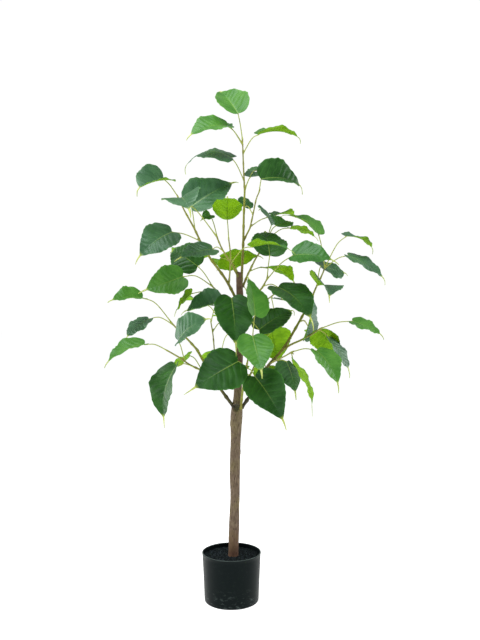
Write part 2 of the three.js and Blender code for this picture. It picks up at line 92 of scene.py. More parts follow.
LEAF_WIDTH = 0.88                # width of a blade over its length
LEAF_WIDEST = 0.31               # where a blade is widest, over its length
LEAF_SHOULDER = 0.74             # half width of the base row over the widest half width
LEAF_LOBE = 0.075                # how far the base lobes reach back past the stalk, over length
LEAF_NECK = 0.05                 # half width where the drip tip begins, over the widest half width
LEAF_THICKNESS = 0.6
DRIP_LENGTH = 0.25               # over the blade's length
DRIP_NARROWING = 0.82
DRIP_THICKNESS = 1.1
BLADE_ROWS = 46
DRIP_ROWS = 9
HALF_COLUMNS = 15
RIB_HALF_WIDTH = 0.95
RIB_HEIGHT = 0.55
FOLD_ROUNDING = 0.05             # share of a blade's half width over which its fold is rounded
VEIN_PAIRS = 7.5                 # pairs of side veins over a blade's length
VEIN_LEAN = 0.62                 # how far a side vein runs forward for each step outwards
RELIEF_DEPTH = 0.0011            # of the pressed veins and wrinkles in the material, metres
QUILT_HEIGHT = 1.35              # how far the blade puffs up between its veins
EDGE_WAVE = 2.2
RIPPLE = 1.1                     # short waves of the edge
DISH_DEPTH = 1.5                 # how far each half of a blade bulges or sinks
SCALLOP = 0.02                   # how far the edge comes and goes between its veins, over half width

FLOOR_REACH = 30                 # metres from its middle
FLOOR_WHITE = 0.85               # share of the light that the floor throws back
FLOOR_GLOW = 0.71                # its own light
ROOM_LIGHT = 0.36                # light of the room's walls; they look as bright as the floor

STALK_RADIUS = 1.25
STALK_RISE = 0.12
STALK_STEPS = 18
STALK_SIDES = 8
BUD_LENGTH = 9
BUD_RADIUS = 1.5
BUD_STEPS = 7
BUD_SIDES = 7
BOUGH_COLLAR = 0.35              # how much thicker a bough is at its foot, over its radius
TWIG_COLLAR = 0.2
STEM_SIDES = 10
NODE_SPACING = 42                # from one swelling of a stem to the next
NODE_SWELL = 0.32
NODE_HALF_LENGTH = 2.4

# The sprays of the tree. Each names its bough (with the radius at both ends, and from where to where
# its paint goes from brown to green) and the twig that goes on from it. A leaf row reads: how far up
# the twig its stalk leaves; where its base shows in the front view, across and up, and its depth;
# the same for the tip of its blade; then the turn of the blade, the fold along its midrib, its arch
# in percent of its length and its twist, how full it stays towards its tip, how far its drip tip
# bends down, and its tone. A tone holds the leaf's own green together with painted light: painted
# shade in deep, painted light in fresh and a painted grey sheen in grey.
PLAIN = (0, 10, 5, 0, 1.6, 0.3, "mid")   # turn to tone of a leaf that hangs plainly
BOUGH_PAINT = (0.4, 0.85)                # the paint of a bough that names none
SPRAYS = [
    dict(name="top", bough=[(23, -1, 743), (27, -2, 823), (29, -4, 905), (31, -4, 959)],
         bough_radii=(3.3, 2.3), twig=[(31, -4, 959), (28, -6, 1022), (26, -8, 1080)],
         twig_radii=(2.1, 1.5), leaves=[
        (1.00, 15, 1145, -25, -25, 1195, 40, -25, 30, 5, 0, 1.7, 0.3, "fresh"),
        (0.92, -10, 1115, -10, -95, 1095, -50, -35, 15, 10, 0, 2.0, 0.3, "fresh"),
        (0.20, 0, 1040, 0, -105, 1025, 30, -25, -5, 20, 0, 1.4, 0.8, "grey"),
        (0.72, 65, 1095, 0, 155, 1090, 30, 10, 15, 10, 0, 1.8, 0.6, "fresh"),
        (0.00, 45, 995, 15, 115, 1000, 65, 15, 10, 5, 0, 1.6, 0.3, "grey"),
        (0.05, 65, 1010, 60, 115, 1015, 140, *PLAIN),
        (0.90, -20, 1115, 50, -70, 1125, 115, *PLAIN),
    ]),
    dict(name="leader_side", bough=[(29, -3, 846), (43, -12, 872)], bough_radii=(2.2, 1.9),
         twig=[(43, -12, 872), (50, -22, 902), (57, -34, 935), (64, -42, 952)],
         twig_radii=(1.8, 1.4), leaves=[
        (1.00, 70, 990, -45, 160, 975, 20, 45, 30, 10, -15, 2.0, 0.6, "deep"),
        (0.34, 30, 925, 20, 35, 945, 60, 30, 10, 5, 0, 1.6, 0.3, "grey"),
        (0.04, 85, 900, -20, 70, 920, 40, 50, -10, 10, 20, 1.4, 0.3, "grey"),
    ]),
    dict(name="upper_right", bough=[(27, 6, 738), (39, 12, 767)], bough_radii=(2.8, 2.4),
         twig=[(39, 12, 767), (56, 26, 802), (68, 38, 822), (88, 60, 858)],
         twig_radii=(2.3, 1.6), leaves=[
        (0.06, 85, 780, 35, 145, 750, 95, 0, 10, 10, 0, 1.6, 0.3, "mid"),
        (1.00, 105, 880, 65, 135, 890, 130, 35, 25, 0, 15, 1.4, 0.3, "mid"),
        (0.92, 140, 875, 65, 195, 855, 90, 0, 10, 5, 0, 1.8, 0.3, "mid"),
        (0.96, 105, 905, 110, 145, 905, 165, 0, 15, 5, 0, 1.8, 0.3, "mid"),
    ]),
    dict(name="mid_right", bough=[(27, -6, 693), (53, -20, 714), (71, -33, 732)],
         bough_radii=(2.8, 2.2), twig=[(71, -33, 732), (82, -44, 752)], twig_radii=(2.1, 1.7),
         leaves=[
        (1.00, 90, 810, -35, 80, 865, 40, 5, 15, 5, 0, 1.8, 0.3, "deep"),
        (0.90, 145, 810, -70, 235, 800, -95, 45, 15, 10, 0, 1.8, 0.2, "mid"),
        (0.20, 110, 735, -70, 185, 665, -130, 15, 10, 10, 0, 2.2, 0.5, "deep"),
    ]),
    dict(name="upper_left",
         bough=[(12, -6, 705), (-6, -14, 740), (-22, -20, 765), (-49, -30, 801), (-70, -39, 836)],
         bough_radii=(3.4, 2.6),
         twig=[(-70, -39, 836), (-85, -48, 868), (-107, -58, 908), (-120, -66, 936)],
         twig_radii=(2.5, 1.6), leaves=[
        (0.30, -95, 925, -25, 0, 980, 30, 50, 25, 5, 0, 1.4, 0.2, "grey"),
        (1.00, -160, 990, -70, -215, 970, -145, -45, 30, 5, -45, 3.0, 0.6, "grey"),
        (0.04, -140, 865, -50, -215, 810, -90, -45, 10, 10, 10, 1.8, 0.3, "grey"),
    ]),
    dict(name="centre_fork", twig=[(-6, -14, 742), (-3, -26, 775), (-2, -31, 809), (-6, -33, 844)],
         twig_radii=(2.0, 1.5), leaves=[
        (1.00, -10, 895, -40, -10, 945, -120, 0, 30, 0, 0, 1.6, 0.3, "mid"),
    ]),
    dict(name="centre", bough=[(15, -5, 761), (1, -14, 789)], bough_radii=(2.6, 2.3),
         twig=[(1, -14, 789), (-20, -30, 820), (-34, -45, 850)], twig_radii=(2.2, 1.6), leaves=[
        (0.04, 50, 830, -85, 135, 825, -120, 0, 10, 10, 0, 1.6, 0.2, "mid"),
        (0.45, -45, 825, -65, -120, 805, -110, -30, 10, 5, 0, 1.6, 0.1, "grey"),
        (0.88, -50, 905, -10, -70, 895, -40, -40, 30, 0, 10, 1.6, 0.3, "fresh"),
        (1.00, -120, 945, -100, -100, 920, -190, 20, 15, 10, 0, 2.0, 0.5, "grey"),
    ]),
    dict(name="back_upper", twig=[(-52, -31, 806), (-62, 20, 824), (-78, 64, 838)],
         twig_radii=(2.0, 1.5), leaves=[
        (1.00, -90, 820, 90, -135, 815, 165, *PLAIN),
        (0.80, -75, 820, 105, -75, 795, 185, *PLAIN),
    ]),
    dict(name="mid_left", bough=[(15, -8, 670), (-6, -10, 694)], bough_radii=(3.0, 2.5),
         twig=[(-6, -10, 694), (-27, -12, 719), (-45, -14, 737)], twig_radii=(2.4, 1.7), leaves=[
        (0.96, -80, 785, 5, -140, 820, 55, -60, 10, 15, 0, 1.8, 0.3, "deep"),
        (1.00, -115, 760, -25, -200, 730, -50, -60, 10, 0, 0, 1.7, 0.1, "fresh"),
        (0.30, -95, 720, 20, -130, 680, -15, 45, 10, 5, 0, 2.0, 0.3, "mid"),
    ]),
    dict(name="low_left", paint=(0, 0.8),
         bough=[(5, -4, 454), (-22, -14, 492), (-45, -22, 528), (-66, -28, 565), (-79, -30, 589)],
         bough_radii=(4.0, 2.8),
         twig=[(-79, -30, 589), (-100, -30, 612), (-119, -28, 630), (-138, -26, 651)],
         twig_radii=(2.7, 1.7), leaves=[
        (1.00, -210, 710, -25, -280, 705, -70, -30, 25, 5, 0, 2.0, 0.2, "fresh"),
        (0.92, -195, 660, -10, -245, 620, -40, -10, 10, 5, 15, 2.2, 0.3, "grey"),
    ]),
    dict(name="low_left_front", bough=[(-45, -22, 528), (-64, -43, 540)], bough_radii=(2.8, 2.5),
         twig=[(-64, -43, 540), (-75, -58, 547), (-93, -72, 557), (-114, -84, 573), (-140, -92, 589)],
         twig_radii=(2.4, 1.6), leaves=[
        (1.00, -205, 600, -100, -290, 560, -130, -15, 20, 10, 0, 1.6, 0.3, "fresh"),
        (0.64, -125, 610, -90, -60, 660, -125, 50, 20, 10, -20, 3.0, 0.3, "grey"),
        (0.38, -130, 550, -105, -160, 430, -125, 10, 20, 10, 25, 1.8, 0.5, "deep"),
        (0.05, -100, 575, -20, -160, 535, -55, 30, 0, 0, 0, 1.8, 0.3, "mid"),
    ]),
    dict(name="low_left_inner", bough=[(-34, -17, 509), (-39, -5, 550)], bough_radii=(2.0, 1.8),
         twig=[(-39, -5, 550), (-41, 4, 590), (-44, 8, 623), (-49, 10, 653)],
         twig_radii=(1.7, 1.4), leaves=[
        (1.00, -30, 700, -30, -105, 680, 15, -45, 35, 0, 0, 2.2, 0.3, "grey"),
        (0.74, -25, 655, 20, -40, 695, 95, 60, 10, 5, 0, 1.6, 0.3, "mid"),
    ]),
    dict(name="low_right", paint=(0, 0.85),
         bough=[(25, -2, 453), (43, -8, 480), (62, -14, 511), (85, -20, 551), (104, -22, 572),
                (120, -24, 591), (136, -22, 616), (167, -16, 670), (186, -11, 705)],
         bough_radii=(4.0, 2.5),
         twig=[(186, -11, 705), (198, -6, 733), (213, 0, 764), (221, 4, 783)],
         twig_radii=(2.4, 1.7), leaves=[
        (1.00, 270, 855, 10, 330, 830, 45, 15, 10, 10, 0, 2.0, 0.8, "grey"),
        (0.95, 275, 810, -5, 355, 760, -25, 15, 5, 5, -10, 1.7, 0.6, "grey"),
        (0.97, 205, 860, -20, 130, 905, 10, -10, 15, 10, 0, 1.7, 0.3, "fresh"),
        (0.40, 210, 785, 15, 265, 770, 60, 30, 0, 0, -25, 2.4, 0.3, "grey"),
        (0.36, 205, 740, -15, 230, 715, -115, -25, 25, 10, 0, 1.6, 0.3, "grey"),
    ]),
    dict(name="right_mid", bough=[(115, -24, 585), (135, -36, 600), (160, -46, 612)],
         bough_radii=(2.6, 2.2), twig=[(160, -46, 612), (184, -56, 626), (201, -62, 638)],
         twig_radii=(2.1, 1.6), leaves=[
        (1.00, 285, 655, -70, 350, 625, -95, 20, 10, 5, 0, 1.7, 0.4, "fresh"),
        (0.98, 210, 635, -45, 240, 585, 10, -15, -20, 0, 0, 2.0, 0.3, "mid"),
        (0.92, 230, 615, -60, 275, 545, -80, -5, 5, 5, -15, 2.0, 0.6, "grey"),
        (0.10, 170, 615, -50, 190, 710, -50, 160, 20, 5, 0, 1.6, 0.3, "grey"),
    ]),
    dict(name="right_back", twig=[(158, -18, 654), (174, 28, 656), (188, 60, 640)],
         twig_radii=(2.0, 1.5), leaves=[
        (1.00, 195, 630, 90, 235, 590, 160, *PLAIN),
    ]),
    dict(name="right_front", bough=[(90, -21, 557), (99, -38, 563)], bough_radii=(2.4, 2.1),
         twig=[(99, -38, 563), (121, -75, 577), (135, -95, 587)], twig_radii=(2.0, 1.5), leaves=[
        (1.00, 200, 585, -115, 250, 510, -150, 5, 15, 10, -15, 1.6, 0.6, "fresh"),
        (0.95, 145, 560, -90, 190, 460, -115, -30, 0, 10, 10, 1.8, 0.5, "mid"),
        (0.08, 130, 560, -35, 150, 490, -10, 180, 25, -5, 15, 1.4, 0.3, "deep"),
    ]),
    dict(name="low_back", twig=[(62, -14, 511), (88, 46, 520), (100, 76, 516)],
         twig_radii=(2.0, 1.5), leaves=[
        (1.00, 105, 520, 90, 110, 515, 170, *PLAIN),
    ]),
    dict(name="front", paint=(0.55, 0.9),
         bough=[(22, -12, 452), (25, -30, 485), (28, -42, 509), (32, -58, 538)],
         bough_radii=(2.8, 2.3), twig=[(32, -58, 538), (42, -84, 591), (48, -96, 618)],
         twig_radii=(2.2, 1.6), leaves=[
        (1.00, 55, 670, -105, 40, 755, -70, 25, 20, 5, 0, 1.5, 0.3, "fresh"),
        (0.96, 50, 620, -110, 70, 540, -170, 0, 5, 0, -15, 1.4, 0.5, "fresh"),
        (0.10, 55, 525, -85, 120, 425, -125, 45, 20, 10, 0, 1.6, 0.3, "deep"),
        (0.04, 15, 560, -85, -85, 500, -125, -60, 0, 5, 0, 1.6, 0.0, "deep"),
    ]),
    dict(name="front_high", bough=[(20, -10, 635), (20, -22, 651)], bough_radii=(2.4, 2.1),
         twig=[(20, -22, 651), (24, -40, 676)], twig_radii=(2.0, 1.6), leaves=[
        (1.00, 0, 710, -50, 10, 605, -85, 0, 10, 5, 0, 2.0, 0.3, "deep"),
        (0.60, 65, 635, -35, 140, 680, 0, 30, 10, 5, 0, 2.4, 0.6, "deep"),
    ]),
    dict(name="back_low", bough=[(22, 8, 481), (39, 50, 512)], bough_radii=(3.2, 2.5),
         twig=[(39, 50, 512), (60, 100, 553), (76, 135, 594)], twig_radii=(2.4, 1.7), leaves=[
        (1.00, 95, 630, 120, 110, 560, 195, -20, 5, 5, 0, 1.6, 0.3, "mid"),
        (0.90, 80, 545, 160, 100, 480, 220, *PLAIN),
        (0.10, 10, 550, 110, -20, 525, 200, 10, 10, 5, 0, 1.6, 0.3, "mid"),
        (0.00, 75, 500, 105, 95, 480, 195, 0, 10, 5, 0, 1.6, 0.3, "fresh"),
    ]),
    dict(name="back_high", bough=[(18, 8, 705), (20, 38, 735)], bough_radii=(2.6, 2.2),
         twig=[(20, 38, 735), (20, 75, 766)], twig_radii=(2.1, 1.6), leaves=[
        (1.00, -25, 805, 75, 60, 810, 105, -35, -20, 5, 0, 1.6, 0.3, "mid"),
        (0.50, 45, 690, 110, 65, 690, 200, *PLAIN),
        (0.90, -5, 795, 110, -30, 785, 195, *PLAIN),
    ]),
    dict(name="back_right", bough=[(24, 8, 668), (50, 34, 688)], bough_radii=(2.6, 2.2),
         twig=[(50, 34, 688), (86, 68, 708), (110, 90, 726)], twig_radii=(2.1, 1.6), leaves=[
        (1.00, 120, 705, 105, 170, 690, 185, *PLAIN),
        (0.70, 100, 680, 100, 115, 640, 185, 0, 10, 5, 0, 1.6, 0.3, "fresh"),
    ]),
    dict(name="back_left", bough=[(13, 8, 599), (-2, 40, 622)], bough_radii=(3.0, 2.4),
         twig=[(-2, 40, 622), (-9, 60, 634), (-30, 110, 653)], twig_radii=(2.3, 1.7), leaves=[
        (1.00, -65, 695, 140, -110, 705, 215, 15, 10, 5, 0, 1.6, 0.3, "mid"),
        (0.90, -10, 665, 150, 10, 645, 250, 0, 10, 5, 0, 1.6, 0.3, "grey"),
        (0.30, -25, 580, 110, -40, 535, 195, *PLAIN),
    ]),
]

# ------------------------ numbers and noise


def unit(vectors):
    """Each vector over its own length."""
    vectors = np.asarray(vectors, float)
    return vectors / np.linalg.norm(vectors, axis=-1, keepdims=True)


def wobble(index, channel):
    """A seeded number from -1 to 1: twice the fraction of a large sine, less one."""
    s = np.sin(np.asarray(index) * 12.9898 + channel * 78.233) * 43758.5453
    return (s - np.floor(s)) * 2 - 1


def ease(low, high, x):
    """0 below low, 1 above high and 3t² - 2t³ between them."""
    t = np.clip((x - low) / (high - low), 0, 1)
    return t * t * (3 - 2 * t)


def noise(points, cell, seed=0):
    """Value noise from -1 to 1: seeded numbers at the corners of a lattice of the given cell, eased
    between the eight corners round each point."""
    place = np.asarray(points, float) / np.asarray(cell, float)
    low = np.floor(place)
    share = place - low
    share = share * share * (3 - 2 * share)
    total = np.zeros(place.shape[:-1])
    for corner in np.ndindex(2, 2, 2):
        at = low + corner
        number = at[..., 0] * 157.31 + at[..., 1] * 113.97 + at[..., 2] * 271.19 + seed * 17.17
        weight = np.prod(np.where(np.array(corner) == 1, share, 1 - share), axis=-1)
        total += weight * wobble(number, 5)
    return total


def smooth(points, steps):
    """Places along a uniform Catmull-Rom curve through the points, with mirrored end neighbours."""
    known = np.asarray(points, float)
    ends = np.vstack([2 * known[0] - known[1], known, 2 * known[-1] - known[-2]])
    at = np.linspace(0, len(known) - 1, steps + 1)
    first = np.minimum(at.astype(int), len(known) - 2)
    t = (at - first)[:, None]
    before, start, end, after = (ends[first + k] for k in range(4))
    leave, arrive = (end - before) / 2, (after - start) / 2
    return (start + leave * t + (3 * (end - start) - 2 * leave - arrive) * t**2
            + (2 * (start - end) + leave + arrive) * t**3)


def point_on(points, share):
    """The place at a share of the way along that curve."""
    return smooth(points, 200)[round(share * 200)]


def through(heights, known, z):
    """A smooth line through known values: cubic pieces whose slopes at the known heights are the
    mean slopes around them."""
    slopes = np.gradient(known, heights)
    k = np.clip(np.searchsorted(heights, z) - 1, 0, len(heights) - 2)
    span = heights[k + 1] - heights[k]
    t = (z - heights[k]) / span
    rise = known[k + 1] - known[k]
    return (known[k] + slopes[k] * span * t
            + (3 * rise - (2 * slopes[k] + slopes[k + 1]) * span) * t**2
            + ((slopes[k] + slopes[k + 1]) * span - 2 * rise) * t**3)


# ------------------------ meshes from grids


def grid_faces(rows, columns, closed=False):
    """Quads of a grid of points; they face column direction × row direction."""
    i = np.arange(rows - 1)[:, None]
    j = np.arange(columns if closed else columns - 1)[None, :]
    a, b = i * columns + j, i * columns + (j + 1) % columns
    return np.stack([a, b, b + columns, a + columns], axis=-1).reshape(-1, 4)


def tube_mesh(path, radii, sides=STEM_SIDES):
    """A round tube: at each place on the path a ring, side·cos + other·sin of its radius, and both
    ends closed by a fan. Returns points, quads and triangles."""
    path = np.asarray(path, float)
    along = unit(np.gradient(path, axis=0))
    axis = np.eye(3)[np.argmin(np.abs(along.mean(axis=0)))]
    side = unit(axis - along * (along @ axis)[:, None])
    other = np.cross(along, side)
    angle = np.linspace(0, 2 * np.pi, sides, endpoint=False)[None, :, None]
    spokes = side[:, None] * np.cos(angle) + other[:, None] * np.sin(angle)
    radii = np.broadcast_to(radii, len(path))
    rings = path[:, None] + spokes * radii[:, None, None]
    points = np.vstack([rings.reshape(-1, 3), path[:1], path[-1:]])
    ring = np.arange(sides)
    after = (ring + 1) % sides
    last = (len(path) - 1) * sides
    low = np.stack([after, ring, np.full(sides, len(points) - 2)], axis=-1)
    high = np.stack([last + ring, last + after, np.full(sides, len(points) - 1)], axis=-1)
    return points, grid_faces(len(path), sides, True), np.vstack([low, high])


class Mesh:
    """Patches of points and faces, joined into one piece. Each point also holds three numbers that
    its material may read: for a leaf, vein phase, way out and way along, and for a stem, way along."""

    def __init__(self):
        self.points, self.marks, self.corners, self.sizes, self.slots = [], [], [], [], []
        self.count = 0

    def add(self, points, faces, slots, marks=None):
        """A patch: its points, groups of faces, and for each group a slot or one slot per face."""
        points = np.reshape(points, (-1, 3))
        marks = np.zeros_like(points) if marks is None else np.reshape(marks, (-1, 3))
        for group, slot in zip(faces, slots):
            self.corners.append((group + self.count).ravel())
            self.sizes.append(np.full(len(group), group.shape[1]))
            self.slots.append(np.broadcast_to(slot, len(group)))
        self.points.append(points)
        self.marks.append(marks)
        self.count += len(points)

    def piece(self, name, materials, replaced, sharp=50):
        """The finished piece: its object at the origin, riding on the one body."""
        corners, sizes = np.concatenate(self.corners), np.concatenate(self.sizes)
        mesh = bpy.data.meshes.new(name)
        mesh.vertices.add(self.count)
        mesh.vertices.foreach_set("co", (np.vstack(self.points) * MM).astype(np.float32).ravel())
        mesh.loops.add(len(corners))
        mesh.loops.foreach_set("vertex_index", corners.astype(np.int32))
        mesh.polygons.add(len(sizes))
        starts = np.concatenate([[0], np.cumsum(sizes)[:-1]])
        mesh.polygons.foreach_set("loop_start", starts.astype(np.int32))
        mesh.polygons.foreach_set("material_index", np.concatenate(self.slots).astype(np.int32))
        mesh.update(calc_edges=True)
        mark = mesh.attributes.new("marks", "FLOAT_VECTOR", "POINT")
        mark.data.foreach_set("vector", np.vstack(self.marks).astype(np.float32).ravel())
        mesh.polygons.foreach_set("use_smooth", np.ones(len(sizes), bool))
        mesh.set_sharp_from_angle(angle=math.radians(sharp))
        for material in materials:
            mesh.materials.append(material)
        made = bpy.data.objects.new(name, mesh)
        bpy.context.scene.collection.objects.link(made)
        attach(made, "root")
        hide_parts(*replaced)
        return made


# ------------------------ materials


def colour(code):
    """A written sRGB colour as linear red, green, blue and alpha."""
    parts = np.array([int(code[i:i + 2], 16) / 255 for i in (1, 3, 5)])
    linear = np.where(parts <= 0.04045, parts / 12.92, ((parts + 0.055) / 1.055) ** 2.4)
    return (*linear.tolist(), 1.0)


def feed(tree, node, inputs):
    """Gives each named input of a node its value, or links the socket it reads."""
    for key, value in inputs.items():
        if isinstance(value, bpy.types.NodeSocket):
            tree.links.new(value, node.inputs[key])
        else:
            node.inputs[key].default_value = value


def add(tree, kind, inputs=None, stops=None, **settings):
    """One node: its settings, its ramp's stops, and for each input a value or the socket it reads."""
    made = tree.nodes.new(kind)
    for key, value in settings.items():
        setattr(made, key, value)
    if stops:
        ramp = made.color_ramp.elements
        while len(ramp) < len(stops):
            ramp.new(0.5)
        for element, (place, value) in zip(ramp, stops):
            element.position = place
            element.color = colour(value)
    feed(tree, made, inputs or {})
    return made


def material(name):
    """An empty material with its own place on the piece in metres, and its surface shader."""
    made = bpy.data.materials.new(name)
    made.use_nodes = True
    tree = made.node_tree
    tree.nodes.clear()
    shader = add(tree, "ShaderNodeBsdfPrincipled")
    add(tree, "ShaderNodeOutputMaterial", {"Surface": shader.outputs["BSDF"]})
    place = add(tree, "ShaderNodeTexCoord").outputs["Object"]
    return made, tree, shader, place


def per_mm(size):
    """The noise scale that gives features of that many millimetres."""
    return 1 / (size * MM)


def cloud(tree, place, size, detail, roughness=0.5):
    """Noise around 0.5 with features of that many millimetres."""
    made = add(tree, "ShaderNodeTexNoise", {"Vector": place, "Scale": per_mm(size),
                                            "Detail": detail, "Roughness": roughness})
    return made.outputs["Fac"]


def shade(tree, value, *stops):
    """A colour that follows a number through its stops."""
    return add(tree, "ShaderNodeValToRGB", {"Fac": value}, stops=stops).outputs["Color"]


def bumped(tree, height, strength, distance):
    """A normal bent by a height, which stands for that many metres where it is 1."""
    made = add(tree, "ShaderNodeBump", {"Height": height, "Strength": strength,
                                        "Distance": distance})
    return made.outputs["Normal"]


def ramp(tree, value, low, high, start, end):
    """A number that goes from start to end while the value goes from low to high."""
    made = add(tree, "ShaderNodeMapRange", {"Value": value, "From Min": low, "From Max": high,
                                            "To Min": start, "To Max": end})
    return made.outputs["Result"]


def times(tree, first, second):
    """Two numbers multiplied."""
    return add(tree, "ShaderNodeMath", {0: first, 1: second}, operation="MULTIPLY").outputs[0]


def times_plus(tree, first, second, third):
    """Two numbers multiplied, and a third added."""
    return add(tree, "ShaderNodeMath", {0: first, 1: second, 2: third},
               operation="MULTIPLY_ADD").outputs[0]


def apart(tree, vector):
    """The three parts of a vector."""
    return add(tree, "ShaderNodeSeparateXYZ", {"Vector": vector}).outputs


def blend(tree, share, below, above):
    """Two colours mixed by a share."""
    made = add(tree, "ShaderNodeMix", {"Factor": share, "A": below, "B": above}, data_type="RGBA")
    return made.outputs["Result"]


def veins(tree, place):
    """Where the side veins lie: one runs where the phase is a whole number, bent a little by noise.
    Returns how far the nearest one is (0 to 0.5), how strongly it shows here, and the way out and
    the way along."""
    marks = add(tree, "ShaderNodeAttribute", attribute_name="marks").outputs["Vector"]
    phase, out, along = apart(tree, marks)
    shifted = times_plus(tree, cloud(tree, place, 13, 2), 0.3, phase)
    nearest = add(tree, "ShaderNodeMath", {0: shifted, 1: 0.5}, operation="PINGPONG").outputs[0]
    vein = times(tree, ramp(tree, nearest, 0.0, 0.07, 1.0, 0.0), ramp(tree, out, 0.25, 0.95, 1.0, 0.0))
    return nearest, times(tree, vein, ramp(tree, along, 0.1, 0.8, 1.0, 0.2)), out, along


def pressed(tree, place, nearest, out, relief):
    """The relief of pressed cloth: it puffs up between the side veins, and wrinkles a little."""
    puff = times(tree, ramp(tree, nearest, 0.0, 0.3, 0.0, 1.0), ramp(tree, out, 0.05, 0.9, 1.0, 0.3))
    height = times_plus(tree, cloud(tree, place, 22, 1), 0.7, puff)
    return bumped(tree, height, relief, RELIEF_DEPTH)


def pressed_leaf(name, dark, light, edge, sheen, relief):
    """Polyester cloth, printed green and hot-pressed with its veins: a soft broad sheen that turns
    grey where the blade is seen flat, a pale midrib that fades towards the tip, faint side veins, a
    fresher edge, and yellow where the drip tip begins."""
    made, tree, shader, place = material(name)
    nearest, vein, out, along = veins(tree, place)
    blotches = cloud(tree, place, 30, 3)
    ground = shade(tree, blotches, (0.36, dark), (0.64, light))
    veined = blend(tree, times(tree, vein, 0.5), ground, colour(edge))
    rimmed = blend(tree, ramp(tree, out, 0.9, 1.0, 0.0, 0.45), veined, colour(edge))
    rib = times(tree, ramp(tree, out, 0.008, 0.03, 1.0, 0.0), ramp(tree, along, 0.05, 0.8, 0.5, 0.0))
    ribbed = blend(tree, rib, rimmed, colour("#a3bb55"))
    tipped = blend(tree, ramp(tree, along, 0.94, 1.0, 0.0, 0.8), ribbed, colour("#9caf4a"))
    feed(tree, shader, {
        "Base Color": tipped, "Roughness": ramp(tree, blotches, 0.3, 0.7, 0.36, 0.48),
        "Normal": pressed(tree, place, nearest, out, relief), "IOR": 1.46,
        "Specular IOR Level": sheen, "Specular Tint": colour("#d8f0ea"),
        "Sheen Weight": sheen * 0.15, "Sheen Roughness": 0.4, "Sheen Tint": colour("#b8d8c8"),
    })
    return made


def leaf_back():
    """The unprinted side of the cloth: bright yellow-green and almost without sheen."""
    made, tree, shader, place = material("leaf_back_pressed_polyester")
    nearest, vein, out, _ = veins(tree, place)
    ground = shade(tree, cloud(tree, place, 26, 3), (0.34, "#618f04"), (0.66, "#7aa80a"))
    veined = blend(tree, times(tree, vein, 0.55), ground, colour("#4a7206"))
    rib = ramp(tree, out, 0.015, 0.05, 0.6, 0.0)
    feed(tree, shader, {"Base Color": blend(tree, rib, veined, colour("#50760a")),
                        "Normal": pressed(tree, place, nearest, out, 0.3),
                        "Roughness": 0.7, "Specular IOR Level": 0.1})
    return made


def moulded(name, dark, light, roughness):
    """Moulded polyethylene: even colour with slow changes along it, and a satin face."""
    made, tree, shader, place = material(name)
    ground = shade(tree, cloud(tree, place, 9, 2), (0.35, dark), (0.65, light))
    feed(tree, shader, {"Base Color": ground, "Roughness": roughness,
                        "Normal": bumped(tree, cloud(tree, place, 1.4, 2), 0.25, 0.0004)})
    return made


def painted_stem():
    """Polyethylene over wire, brushed brown where it leaves the trunk and olive green further up:
    the colour follows the way along the stem, with blotches where the paint thins."""
    made, tree, shader, place = material("bough_painted_polyethylene")
    marks = add(tree, "ShaderNodeAttribute", attribute_name="marks").outputs["Vector"]
    along = apart(tree, marks)["Z"]
    spread = times_plus(tree, cloud(tree, place, 11, 3), 0.36, along)
    paint = shade(tree, spread, (0.18, "#2e291a"), (0.45, "#4f4a1f"), (0.78, "#727026"),
                  (1.0, "#868c31"))
    feed(tree, shader, {"Base Color": paint, "Roughness": 0.6, "Specular IOR Level": 0.3,
                        "Normal": bumped(tree, cloud(tree, place, 2.2, 3), 0.4, 0.0006)})
    return made


def bark():
    """Dried natural trunk with its thin bark: fine upright mottling, grey-brown with olive patches
    and small dark specks, redder at the foot and above the collar."""
    made, tree, shader, place = material("trunk_dried_natural_wood")
    upright = add(tree, "ShaderNodeMapping", {"Vector": place,
                                              "Scale": (1.0, 1.0, 0.3)}).outputs["Vector"]
    grain = cloud(tree, upright, 3.2, 5, 0.65)
    ground = shade(tree, grain, (0.32, "#4d4035"), (0.5, "#645546"), (0.7, "#7c6d5a"))
    patches = ramp(tree, cloud(tree, place, 26, 3), 0.45, 0.68, 0.0, 0.5)
    olive = blend(tree, patches, ground, colour("#766c46"))
    height = apart(tree, place)["Z"]
    above = blend(tree, ramp(tree, height, 0.44, 0.58, 0.0, 0.6), olive, colour("#563b30"))
    redder = blend(tree, ramp(tree, height, 0.1, 0.18, 0.8, 0.0), above, colour("#654534"))
    spots = add(tree, "ShaderNodeTexVoronoi", {"Vector": upright, "Scale": per_mm(4.5)})
    dark = ramp(tree, spots.outputs["Distance"], 0.12, 0.3, 0.8, 0.0)
    feed(tree, shader, {"Base Color": blend(tree, dark, redder, colour("#35281e")),
                        "Normal": bumped(tree, grain, 0.5, 0.001),
                        "Roughness": 0.82, "Specular IOR Level": 0.2})
    return made


def end_grain():
    """The sawn top of the trunk: pale wood with fine rings round its own middle."""
    made, tree, shader, place = material("trunk_sawn_end")
    centred = add(tree, "ShaderNodeMapping", {"Vector": place, "Location": (-0.018, 0.0, 0.0)})
    rings = add(tree, "ShaderNodeTexWave", {"Vector": centred.outputs["Vector"],
                                            "Scale": per_mm(9), "Distortion": 1.5},
                wave_type="RINGS", rings_direction="Z")
    wood = shade(tree, rings.outputs["Fac"], (0.2, "#8d6f4e"), (0.8, "#b08f68"))
    feed(tree, shader, {"Base Color": wood, "Roughness": 0.85})
    return made


